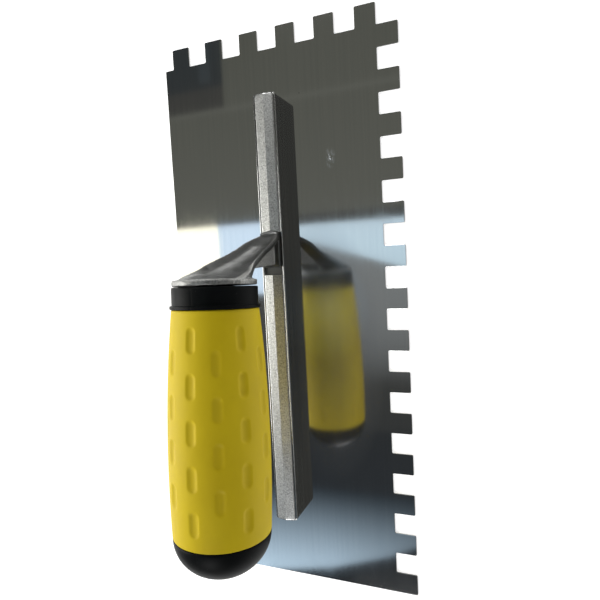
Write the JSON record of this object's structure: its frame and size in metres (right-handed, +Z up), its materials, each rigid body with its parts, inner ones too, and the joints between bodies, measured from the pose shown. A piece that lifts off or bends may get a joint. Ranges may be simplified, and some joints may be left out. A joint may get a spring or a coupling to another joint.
{
  "type": "notched trowel",
  "caption": "Rectangular steel trowel with square notches along one long and one short edge, a straight mounting rail, a cast neck and a soft sleeved handle.",
  "frame": {"origin": "under the middle of the blade's overall rectangle, on the working face that it rests on", "axes": "+X to the notched long edge, +Y to the notched short edge and the neck's side, +Z up from the working face to the handle"},
  "size_m": [0.125, 0.28, 0.0913],
  "materials": {
    "blade_steel": "polished stainless",
    "rail_alloy": "cast top, ground sides",
    "rivet_steel": "ground flush",
    "neck_alloy": "satin die casting",
    "black_plastic": "satin moulded",
    "yellow_rubber": "soft satin moulded",
    "zinc_steel": "zinc plated"
  },
  "bodies": {
    "root": {"blade": "blade_steel", "rail": "rail_alloy", "blade_rivets": "rivet_steel", "neck_rivets": "rivet_steel", "neck": "neck_alloy", "handle_core": "black_plastic", "grip_sleeve": "yellow_rubber", "butt_cap": "black_plastic", "tang": "zinc_steel", "tang_washer": "zinc_steel", "tang_nut": "zinc_steel"}
  },
  "joints": []
}
